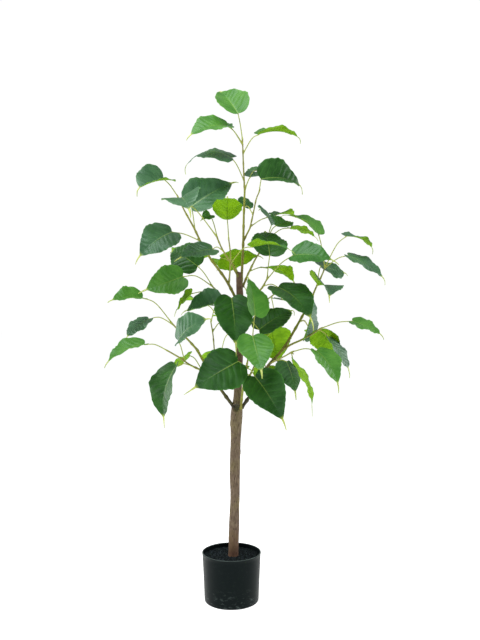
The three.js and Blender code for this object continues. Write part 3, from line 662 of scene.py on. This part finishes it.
def pot_plastic():
    """Moulded black polypropylene: satin, greenish black, with pale scuffs round the foot and a
    painted highlight, a pale line round the rim's top edge."""
    made, tree, shader, place = material("pot_moulded_polypropylene")
    height = apart(tree, place)["Z"]
    scratched = add(tree, "ShaderNodeMapping", {"Vector": place, "Rotation": (0.3, 0.5, 0.2),
                                                "Scale": (1.0, 1.0, 2.2)}).outputs["Vector"]
    scuffs = cloud(tree, scratched, 11, 5, 0.7)
    low = times(tree, ramp(tree, scuffs, 0.54, 0.72, 0.0, 0.8),
                ramp(tree, height, 0.002, 0.045, 1.0, 0.04))
    # painted highlight: a pale line round the top edge of the rim, broken up by the scuff noise
    painted_rim_highlight = times(tree, ramp(tree, scuffs, 0.3, 0.6, 0.5, 1.0),
                   ramp(tree, height, 0.1118, 0.1128, 0.0, 0.7))
    # the pale mix carries both the real scuffs at the foot and the painted highlight at the rim
    scuffs_and_painted_rim_highlight = add(tree, "ShaderNodeMath", {0: low, 1: painted_rim_highlight}, operation="MAXIMUM").outputs[0]
    feed(tree, shader, {
        "Base Color": blend(tree, scuffs_and_painted_rim_highlight, colour("#070d0e"), colour("#5f6a67")),
        "Roughness": ramp(tree, scuffs, 0.3, 0.7, 0.34, 0.46),
        "Normal": bumped(tree, cloud(tree, place, 1.6, 2), 0.1, 0.0003),
        "IOR": 1.49, "Specular IOR Level": 0.09, "Specular Tint": colour("#dcf2ee"),
    })
    return made


def granules():
    """Black mineral granules over the set filling: matt, with a few greyer grains."""
    made, tree, shader, place = material("filling_black_granules")
    grains = shade(tree, cloud(tree, place, 2.6, 3), (0.38, "#04080a"), (0.54, "#10181b"),
                   (0.68, "#414e54"))
    feed(tree, shader, {"Base Color": grains, "Roughness": 0.8, "Specular IOR Level": 0.15})
    return made


def plain_floor():
    """A pale seamless floor of matt paper, lit through from below like a light table."""
    made, tree, shader, _ = material("floor_matt_paper")
    feed(tree, shader, {"Base Color": (FLOOR_WHITE, FLOOR_WHITE, FLOOR_WHITE, 1), "Roughness": 0.9,
                        "Specular IOR Level": 0.0, "Emission Color": (1, 1, 1, 1),
                        "Emission Strength": FLOOR_GLOW})
    return made


BARK = bark()
SAWN_END = end_grain()
SOCKET_DARK = moulded("socket_dark_polyethylene", "#2b2614", "#3d3819", 0.6)
STEM_PAINT = painted_stem()
TWIG = moulded("twig_olive_polyethylene", "#77752a", "#8c9035", 0.5)
STALK = moulded("stalk_green_polyethylene", "#8a9636", "#a3ad45", 0.45)
# The tones' colours mix the cloth's own green with painted light: deep holds painted shade, fresh
# painted light, and grey a painted grey sheen.
TONES_WITH_PAINTED_LIGHT = {
    "deep": pressed_leaf("leaf_deep_painted_shade_pressed_polyester", "#1c4411", "#2a561a", "#44822a", 0.35,
                         0.45),
    "mid": pressed_leaf("leaf_mid_pressed_polyester", "#2d6020", "#3b702a", "#56923a", 0.4,
                        0.25),
    "fresh": pressed_leaf("leaf_fresh_painted_light_pressed_polyester", "#3d7326", "#4f8430", "#6ba03d", 0.33,
                          0.15),
    "grey": pressed_leaf("leaf_grey_painted_sheen_pressed_polyester", "#2e5632", "#3e6840", "#568649", 0.55,
                         0.25),
}
LEAF_BACK = leaf_back()
DRIP = moulded("drip_tip_pale_polyethylene", "#a9b455", "#c2c878", 0.45)
LEAF_MATERIALS = [*TONES_WITH_PAINTED_LIGHT.values(), LEAF_BACK, DRIP]
BACK_SLOT = len(TONES_WITH_PAINTED_LIGHT)
DRIP_SLOT = BACK_SLOT + 1

# ------------------------ pot and filling


def pot_radius(z):
    """Outside radius of the pot's plain wall at a height."""
    return POT_FOOT_RADIUS + (POT_RIM_RADIUS - POT_LIP - POT_FOOT_RADIUS) * z / POT_HEIGHT


def arc(middle, radius, start, end, steps=7):
    """Profile points round a middle, between two angles in degrees."""
    angle = np.radians(np.linspace(start, end, steps))
    return np.column_stack([middle[0] + radius * np.cos(angle), middle[1] + radius * np.sin(angle)])


def turned(profile, columns, unevenness=0.0):
    """A profile of radius and height turned round the Z axis; the wall may be a little out of
    round, by a slow noise."""
    radius, height = np.asarray(profile, float).T
    angle = np.linspace(0, 2 * np.pi, columns, endpoint=False)
    round_ = np.stack([np.cos(angle), np.sin(angle)], axis=-1)
    points = np.empty((len(radius), columns, 3))
    points[..., :2] = radius[:, None, None] * round_
    points[..., 2] = height[:, None]
    swell = 1 + unevenness / POT_RIM_RADIUS * noise(points, (30, 30, 60), 3)
    points[..., :2] *= swell[..., None]
    return points


def pot():
    """The nursery pot: a profile of straight wall, rounded foot and rolled rim, turned."""
    lip_foot = POT_HEIGHT - POT_LIP_HEIGHT
    inner = POT_RIM_RADIUS - POT_LIP - POT_WALL
    wall = [(pot_radius(z), z) for z in np.linspace(POT_EDGE + 1, lip_foot, 16)]
    inside = [(pot_radius(z) - POT_WALL, z) for z in np.linspace(POT_HEIGHT - 2, POT_WALL, 12)]
    profile = np.vstack([
        [(0.01, 0.0), (POT_FOOT_RADIUS * 0.5, 0.0)],
        arc((POT_FOOT_RADIUS - POT_EDGE, POT_EDGE), POT_EDGE, -90, 0),
        wall,
        arc((POT_RIM_RADIUS - 0.6, lip_foot + 0.9), 0.6, -60, 0, 4),
        arc((POT_RIM_RADIUS - 1.1, POT_HEIGHT - 1.1), 1.1, 0, 90, 6),
        arc((inner + 0.9, POT_HEIGHT - 0.9), 0.9, 90, 180, 5),
        inside,
        [(0.01, POT_WALL)],
    ])
    mesh = Mesh()
    mesh.add(turned(profile, POT_COLUMNS, 0.35), [grid_faces(len(profile), POT_COLUMNS, True)], [0])
    return mesh.piece("pot_shell", [pot_plastic()], ["pot"], 40)


def filling_height(x, y):
    """The filling's surface: crowned between trunk and wall, and uneven by slow and fine noise."""
    out = np.hypot(x, y) / (POT_RIM_RADIUS - POT_LIP)
    crown = FILLING_CROWN * np.sin(np.pi * np.clip(out, 0, 1)) ** 0.7
    place = np.stack([x, y, np.zeros_like(x)], axis=-1)
    return FILLING_TOP - 0.5 + crown + 0.9 * noise(place, 14, 1) + 0.8 * noise(place, 3.4, 2)


def filling():
    """The set filling, a turned profile whose top follows filling_height, and loose grains on it:
    small faceted lumps, each an octahedron with its corners moved."""
    reach = pot_radius(FILLING_TOP) - POT_WALL - FILLING_GAP
    rings, columns = 44, 160
    hole = 0.3
    out = np.linspace(hole, reach, rings)[:, None]
    angle = np.linspace(0, 2 * np.pi, columns, endpoint=False)[None, :]
    x, y = out * np.cos(angle), out * np.sin(angle)
    top = np.stack([x, y, filling_height(x, y)], axis=-1)[::-1]
    foot = pot_radius(POT_WALL) - POT_WALL - FILLING_GAP
    floor = POT_WALL + FILLING_GAP
    below = turned([(hole, floor), (foot, floor)], columns)
    mesh = Mesh()
    mesh.add(np.vstack([below, top]), [grid_faces(rings + 2, columns, True)], [0])

    grain = np.arange(GRAIN_COUNT)
    way = np.pi * (wobble(grain, 1) + 1)
    far = GRAINS_FROM + (reach - GRAINS_FROM - 1.5) * np.sqrt((wobble(grain, 2) + 1) / 2)
    middle_x = TRUNK_FOOT_PLACE * np.clip(1.6 - far / 30, 0, 1)
    x, y = middle_x + far * np.cos(way), far * np.sin(way)
    keep = np.hypot(x, y) < reach - 2
    size = GRAIN_SIZE + GRAIN_SPREAD * wobble(grain, 3)
    middle = np.stack([x, y, filling_height(x, y) + 0.2 * size], axis=-1)[keep]
    corners = np.array([(1, 0, 0), (0, 1, 0), (-1, 0, 0), (0, -1, 0), (0, 0, -0.8), (0, 0, 0.8)])
    faces = np.array([(0, 1, 5), (1, 2, 5), (2, 3, 5), (3, 0, 5),
                      (1, 0, 4), (2, 1, 4), (3, 2, 4), (0, 3, 4)])
    number = grain[keep][:, None, None] * 6 + np.arange(6)[None, :, None]
    shift = wobble(number * 3 + np.arange(3)[None, None, :], 4) * 0.28
    spin = wobble(grain, 6)[keep] * np.pi
    turned_x = corners[:, 0] * np.cos(spin)[:, None] - corners[:, 1] * np.sin(spin)[:, None]
    turned_y = corners[:, 0] * np.sin(spin)[:, None] + corners[:, 1] * np.cos(spin)[:, None]
    shape = np.stack([turned_x, turned_y, np.broadcast_to(corners[:, 2], turned_x.shape)], axis=-1)
    points = middle[:, None] + (shape + shift) * size[keep][:, None, None]
    all_faces = (faces[None] + (np.arange(len(middle)) * 6)[:, None, None]).reshape(-1, 3)
    mesh.add(points, [all_faces], [0])
    return mesh.piece("filling_granules", [granules()], ["pot_filling"], 30)


# ------------------------ trunk


def trunk():
    """The trunk: round sections whose middle and radius follow the stations, with relief added to
    the radius: slow lumps, upright grain, scars as a ring round a dip, and the front socket."""
    heights, sideways, across = TRUNK_STATIONS.T
    low = FILLING_TOP - TRUNK_SINK
    angle = np.linspace(0, 2 * np.pi, TRUNK_COLUMNS, endpoint=False)[None, :]
    top = TRUNK_TOP - TRUNK_TOP_SLANT * across[-2] / 2 * np.cos(angle)
    share = np.linspace(0, 1, TRUNK_ROWS)[:, None]
    z = low + share * (top - low)
    middle, radius = through(heights, sideways, z), through(heights, across, z) / 2
    place = np.stack([middle + radius * np.cos(angle), radius * np.sin(angle), z], axis=-1)
    lumps = 0.55 * noise(place, (15, 15, 42), 1) + 0.3 * noise(place, (7, 7, 18), 2)
    grain = 0.22 * noise(place, (3.0, 3.0, 14), 3) + 0.16 * noise(place, (2.0, 2.0, 5), 4)
    relief = lumps + grain
    for height, way, size, depth in TRUNK_SCARS:
        round_ = (angle - math.radians(way) + np.pi) % (2 * np.pi) - np.pi
        away = np.hypot(round_ * radius, (z - height) * 0.8) / size
        relief += depth * (1.3 * np.exp(-(away - 1) ** 2 * 5) * 0.55 - np.exp(-away ** 2 * 4))
    foot = 0.4 * np.exp(-((z - FILLING_TOP) / 6) ** 2)
    front = np.sin(angle) < -0.25
    away = np.hypot((place[..., 0] - SOCKET_PLACE[0]) / SOCKET_SIZE[0],
                    (z - SOCKET_PLACE[1]) / SOCKET_SIZE[1])
    dip = np.where(front, SOCKET_DEPTH * (1 - ease(0.72, 1.0, away)), 0)
    lip = np.where(front, 0.9 * np.exp(-((away - 1.08) / 0.16) ** 2), 0)
    full = radius + relief + foot + lip - dip
    points = np.stack([middle + full * np.cos(angle), full * np.sin(angle), z], axis=-1)
    mesh = Mesh()
    quads = grid_faces(TRUNK_ROWS, TRUNK_COLUMNS, True)
    in_socket = (np.where(front, away, 9)[:-1] < 0.9).ravel()
    mesh.add(points, [quads], [np.where(in_socket, 2, 0)])
    ring = points[-1]
    centre = ring.mean(axis=0)
    inward = np.linspace(0, 0.96, CUT_ROWS)[:, None, None]
    cut = ring + (centre - ring) * inward
    mesh.add(cut, [grid_faces(CUT_ROWS, TRUNK_COLUMNS, True)], [1])
    column = np.arange(TRUNK_COLUMNS)
    fan = np.stack([column, (column + 1) % TRUNK_COLUMNS,
                    np.full(TRUNK_COLUMNS, TRUNK_COLUMNS)], axis=-1)
    mesh.add(np.vstack([cut[-1], centre]), [fan], [1])
    bottom = points[0].mean(axis=0)
    mesh.add(np.vstack([points[0], bottom]), [fan[:, [1, 0, 2]]], [0])
    return mesh.piece("trunk_wood", [BARK, SAWN_END, SOCKET_DARK], ["trunk"], 60)


# ------------------------ stems


def noded(path, radii, seed, collar=0.0):
    """Radii along a stem: a straight taper, a swelling at each node, and a collar at its foot."""
    length = np.concatenate([[0], np.cumsum(np.linalg.norm(np.diff(path, axis=0), axis=1))])
    radius = np.interp(length, [0, length[-1]], radii)
    first = NODE_SPACING * (0.55 + 0.2 * wobble(seed, 7))
    for k, place in enumerate(np.arange(first, length[-1] - 4, NODE_SPACING)):
        at = place + 9 * wobble(seed * 13 + k, 8)
        behind = np.where(length < at, 2.2, 1.0)
        radius = radius * (1 + NODE_SWELL * np.exp(-((length - at) / (NODE_HALF_LENGTH * behind)) ** 2))
    radius = radius * (1 + collar * np.exp(-(length / 5) ** 2))
    return radius, length / length[-1]


def stem(mesh, path, radii, seed, slot, collar=0.0, span=(0, 1)):
    """One noded stem, with its way along from span's first number to its second."""
    radius, along = noded(path, radii, seed, collar)
    points, quads, ends = tube_mesh(path, radius)
    way = span[0] + (span[1] - span[0]) * along
    marks = np.zeros((len(points), 3))
    marks[:, 2] = np.concatenate([np.repeat(way, STEM_SIDES), way[:1], way[-1:]])
    mesh.add(points, [quads, ends], [slot, slot], marks)


def bough(spray, seed):
    """A bough as it leaves the trunk or a larger bough, in a collar, up to its twig."""
    path = smooth(spray["bough"], 14 * len(spray["bough"]))
    start = path[0] - unit(path[1] - path[0]) * 2
    path = np.vstack([start, path])
    mesh = Mesh()
    stem(mesh, path, spray["bough_radii"], seed, 0, BOUGH_COLLAR, spray.get("paint", BOUGH_PAINT))
    name = spray["name"]
    return mesh.piece(f"bough_{name}_stem", [STEM_PAINT], [f"bough_{name}"], 60)


def stalk_path(spray, row, index):
    """A leaf's stalk: from its place on the twig in a light bow to the base of its blade."""
    start, end = point_on(spray["twig"], row[0]), in_view(*row[1:4])
    reach = np.linalg.norm(end - start)
    rise = reach * STALK_RISE * (1 + 0.5 * wobble(index, 3))
    middle = start * 0.45 + end * 0.55 + np.array([0, 0, rise])
    return smooth([start, middle, end], STALK_STEPS)


def twigs(spray, first_index):
    """A spray's twig with its stalks, each swollen where it leaves the twig and where it meets its
    blade, and a small pointed bud in each fork."""
    mesh = Mesh()
    path = smooth(spray["twig"], 12 * len(spray["twig"]))
    stem(mesh, path, spray["twig_radii"], first_index, 0, TWIG_COLLAR)
    for k, row in enumerate(spray["leaves"]):
        index = first_index + k
        line = stalk_path(spray, row, index)
        far = np.linspace(0, 1, len(line))
        radius = STALK_RADIUS * (1 - 0.15 * far + 0.7 * np.exp(-(far / 0.07) ** 2)
                                 + 0.45 * np.exp(-((far - 1) / 0.05) ** 2))
        points, quads, ends = tube_mesh(line, radius, STALK_SIDES)
        mesh.add(points, [quads, ends], [1, 1])
        if row[0] > 0.02:
            lean = unit(unit(line[2] - line[0]) + unit(path[-1] - path[-3]))
            bud = line[0] + lean * np.linspace(0, BUD_LENGTH, BUD_STEPS)[:, None]
            swell = BUD_RADIUS * np.sin(np.pi * np.linspace(0.22, 1, BUD_STEPS)) ** 0.8 + 0.15
            points, quads, ends = tube_mesh(bud, swell, BUD_SIDES)
            mesh.add(points, [quads, ends], [0, 0])
    name = spray["name"]
    return mesh.piece(f"foliage_{name}_twigs", [TWIG, STALK], [f"foliage_{name}"], 60)


# ------------------------ leaves


def outline(v, full):
    """Half width of a blade over its widest: an ellipse's side from the shoulders to the widest
    place, then one less a power of the way on, down to the neck."""
    toward = np.clip((LEAF_WIDEST - v) / LEAF_WIDEST, 0, 1)
    onward = np.clip((v - LEAF_WIDEST) / (1 - LEAF_WIDEST), 0, 1)
    below = np.sqrt(1 - (1 - LEAF_SHOULDER ** 2) * toward ** 2)
    above = LEAF_NECK + (1 - LEAF_NECK) * (1 - onward ** full)
    return np.where(v < LEAF_WIDEST, below, above)


def in_view(across, up, depth):
    """The place at a depth that shows in the front view where the trunk's plane has this point: the
    point moved away from the camera by one plus the depth over the camera's distance."""
    camera = np.array([CAMERA_PLACE[0], 0, CAMERA_PLACE[2]], float)
    away = 1 - depth / CAMERA_PLACE[1]
    return camera + (np.array([across, 0, up]) - camera) * away + np.array([0, depth, 0])


def blade_axes(row):
    """A blade's base, its length, and its own axes: along the midrib, up off its face, and across to
    its right."""
    base, tip, turn = in_view(*row[1:4]), in_view(*row[4:7]), np.radians(row[7])
    along = unit(tip - base)
    level = unit(np.array([0, 0, 1.0]) - along * along[2])
    face = level * np.cos(turn) + np.cross(along, level) * np.sin(turn)
    return base, np.linalg.norm(tip - base), along, face, np.cross(along, face)


def blade(row, index):
    """A blade as a grid of points and marks. A point at v along and u across lies at
    length·v along, half width·u across, both turned by fold and twist, plus the arch, the quilting
    between the side veins, and a wave that grows towards the edge."""
    fold, arch, twist, full = row[8:12]
    base, length, along, face, across = blade_axes(row)
    v = np.linspace(0, 1, BLADE_ROWS)[:, None]
    half = length * LEAF_WIDTH * (1 + 0.04 * wobble(index, 1)) / 2
    width = half * outline(v, full)
    rib = np.minimum(RIB_HALF_WIDTH * (1.15 - 0.7 * v), width * 0.5) / width
    steps = np.linspace(0, 1, HALF_COLUMNS)[None, :]
    right = rib + (1 - rib) * steps
    u = np.hstack([-right[:, ::-1], np.zeros((BLADE_ROWS, 1)), right])
    out = np.abs(u)
    sideways = out * width / length

    phase = VEIN_PAIRS * (v - VEIN_LEAN * sideways * (1 - 0.35 * sideways))
    spot = np.stack([v * 7 + 0 * u, u * 2.5, np.full_like(u, index * 3.0)], axis=-1)
    phase = phase + 0.22 * noise(spot, 1, 6)
    quilt = np.abs(np.sin(np.pi * phase)) ** 0.8 - 0.45
    inner = ease(0, 0.22, out) * (1 - ease(0.82, 1.0, out))
    calm = inner * (1 - ease(0.8, 1.0, v)) * ease(-0.3, 0.4, phase)
    swing = 2 * np.pi * (2.3 * v + 0.5 * wobble(index, 9) + 0.3 * np.sign(u) * wobble(index, 10))
    wave = np.sin(swing) * out ** 2 * ease(0.0, 0.25, v) * (1 - ease(0.85, 1, v))
    bulge = DISH_DEPTH * np.sin(np.pi * (1.4 * v + wobble(index, 11)))
    dished = bulge * out * np.sin(np.pi * v)
    ridge = RIB_HEIGHT * (1 - 0.6 * v) * (out <= rib * 0.5)
    ripple = np.sin(2 * np.pi * (phase * 0.8 + wobble(index, 12))) * out ** 3 * ease(0, 0.2, v)
    uneven = 0.5 + 0.5 * noise(spot, 1.6, 8)
    raised = (QUILT_HEIGHT * quilt * calm * (0.6 + 0.7 * uneven) + EDGE_WAVE * wave
              + RIPPLE * ripple * uneven + dished + ridge)

    lift = np.radians(fold)
    folded = width * np.sqrt(out ** 2 + FOLD_ROUNDING ** 2) - width * FOLD_ROUNDING
    lobe = np.clip(1 - v / LEAF_WIDEST, 0, 1) ** 2 * np.sin(np.pi * out)
    scallop = 1 + SCALLOP * out ** 3 * (2 * np.sin(np.pi * phase) ** 2 - 1)
    level_part = width * u * np.cos(lift) * scallop
    height = folded * np.sin(lift) + raised * np.cos(lift)
    spin = np.radians(twist) * v
    side = level_part * np.cos(spin) - height * np.sin(spin)
    up = level_part * np.sin(spin) + height * np.cos(spin)
    bow = 4 * arch / 100 * length * v * (1 - v)
    onward = length * (v - LEAF_LOBE * lobe)
    points = (base + onward[..., None] * along + side[..., None] * across
              + (up + bow)[..., None] * face)
    marks = np.stack([phase, out, np.broadcast_to(v, out.shape)], axis=-1)
    return points, marks


def drip_tip(row, index, neck):
    """The drip tip goes on from the neck's row in the midrib's own line, bending down by the square
    of the way, and narrows to a blunt end."""
    arch, droop = row[9], row[12]
    _, length, along, face, _ = blade_axes(row)
    line = unit(along - face * 4 * arch / 100)
    drip = length * DRIP_LENGTH * (1 + 0.2 * wobble(index, 2))
    k = np.linspace(0, 1, DRIP_ROWS)[1:, None]
    shift = drip * (line * k * (1 - droop * k) - np.array([0, 0, 1.0]) * droop * k ** 2)
    middle = neck.mean(axis=0)
    narrow = (1 - DRIP_NARROWING * k)[..., None]
    return middle + shift[:, None] + (neck - middle)[None] * narrow


def leaf(mesh, row, index):
    """One closed leaf: the blade's grid and the drip tip's as its upper side, the same set back by
    its thickness as its under side, and a strip of faces round the edge."""
    points, marks = blade(row, index)
    tip = drip_tip(row, index, points[-1])
    upper = np.concatenate([points, tip])
    tip_marks = np.repeat(marks[-1:], len(tip), axis=0)
    marks = np.concatenate([marks, tip_marks])
    rows, columns = upper.shape[:2]
    normal = unit(np.cross(np.gradient(upper, axis=1), np.gradient(upper, axis=0)))
    is_tip = (np.arange(rows) >= BLADE_ROWS)[:, None, None]
    thickness = np.where(is_tip, DRIP_THICKNESS, LEAF_THICKNESS)
    under = upper - normal * thickness
    quads = grid_faces(rows, columns)
    both = np.concatenate([upper.reshape(-1, 3), under.reshape(-1, 3)])
    both_marks = np.concatenate([marks.reshape(-1, 3)] * 2)
    count = rows * columns
    number = np.arange(count).reshape(rows, columns)
    rim = np.concatenate([number[0, :-1], number[:-1, -1], number[-1, :0:-1], number[:0:-1, 0]])
    after = np.roll(rim, -1)
    edge = np.stack([after, rim, rim + count, after + count], axis=-1)

    face_row = np.repeat(np.arange(rows - 1), columns - 1)
    on_tip = face_row >= BLADE_ROWS - 1
    # the tone picks a top colour that carries painted light as well as the leaf's own green
    tone_and_light_slot = list(TONES_WITH_PAINTED_LIGHT).index(row[-1])
    slots = [np.where(on_tip, DRIP_SLOT, tone_and_light_slot), np.where(on_tip, DRIP_SLOT, BACK_SLOT), tone_and_light_slot]
    mesh.add(both, [quads, (quads + count)[:, ::-1], edge], slots, both_marks)


def leaves(spray, first_index):
    """All leaves of a spray, joined."""
    mesh = Mesh()
    for k, row in enumerate(spray["leaves"]):
        leaf(mesh, row, first_index + k)
    name = spray["name"]
    return mesh.piece(f"foliage_{name}_leaves", LEAF_MATERIALS, [f"foliage_{name}"], 55)


# ------------------------ studio


def camera():
    """Level, at the height where the frame's middle lies."""
    data = bpy.data.cameras.new("camera")
    data.sensor_fit = "VERTICAL"
    data.sensor_height = SENSOR
    data.lens = SENSOR * FOCAL_PIXELS / FRAME_PIXELS
    made = bpy.data.objects.new("camera", data)
    made.location = [c * MM for c in CAMERA_PLACE]
    made.rotation_euler = (math.pi / 2, 0, 0)
    bpy.context.scene.collection.objects.link(made)
    bpy.context.scene.camera = made


def softbox(name, place, aim, size, power):
    """A square soft light at a place, facing a point, all in metres."""
    data = bpy.data.lights.new(name, "AREA")
    data.shape = "SQUARE"
    data.size = size
    data.energy = power
    made = bpy.data.objects.new(name, data)
    made.location = place
    direction = np.subtract(aim, place)
    flat = math.hypot(direction[0], direction[1])
    made.rotation_euler = (math.pi / 2 + math.atan2(direction[2], flat), 0,
                           math.atan2(direction[1], direction[0]) - math.pi / 2)
    bpy.context.scene.collection.objects.link(made)


def studio():
    """A pale floor, a white room and four large soft lights."""
    far = FLOOR_REACH
    mesh = bpy.data.meshes.new("floor")
    corners = [(-far, -far, 0), (far, -far, 0), (far, far, 0), (-far, far, 0)]
    mesh.from_pydata(corners, [], [(0, 1, 2, 3)])
    mesh.materials.append(plain_floor())
    floor = bpy.data.objects.new("floor", mesh)
    bpy.context.scene.collection.objects.link(floor)
    world = bpy.data.worlds.new("white_room")
    world.use_nodes = True
    tree = world.node_tree
    tree.nodes.clear()
    seen = FLOOR_GLOW + FLOOR_WHITE * ROOM_LIGHT
    camera_ray = add(tree, "ShaderNodeLightPath").outputs["Is Camera Ray"]
    walls = add(tree, "ShaderNodeMix", {"Factor": camera_ray, "B": (seen, seen, seen, 1),
                                        "A": (ROOM_LIGHT * 0.97, ROOM_LIGHT, ROOM_LIGHT * 1.03, 1)},
                data_type="RGBA")
    background = add(tree, "ShaderNodeBackground", {"Color": walls.outputs["Result"]})
    add(tree, "ShaderNodeOutputWorld", {"Surface": background.outputs["Background"]})
    bpy.context.scene.world = world
    bpy.context.scene.view_settings.view_transform = "Standard"
    softbox("top_light", (-0.5, -0.7, 2.7), (0, 0, 0.7), 1.6, 55)
    softbox("left_panel", (-1.9, 0.5, 0.9), (0, 0, 0.6), 1.4, 26)
    softbox("right_panel", (1.9, 0.5, 0.9), (0, 0, 0.6), 1.4, 20)
    softbox("front_light", (0.7, -2.6, 1.5), (0, 0, 0.7), 1.2, 12)


# ------------------------ the whole tree

camera()
pot()
filling()
trunk()
count = 0
for number, spray in enumerate(SPRAYS):
    if "bough" in spray:
        bough(spray, number)
    twigs(spray, count)
    leaves(spray, count)
    count += len(spray["leaves"])
studio()
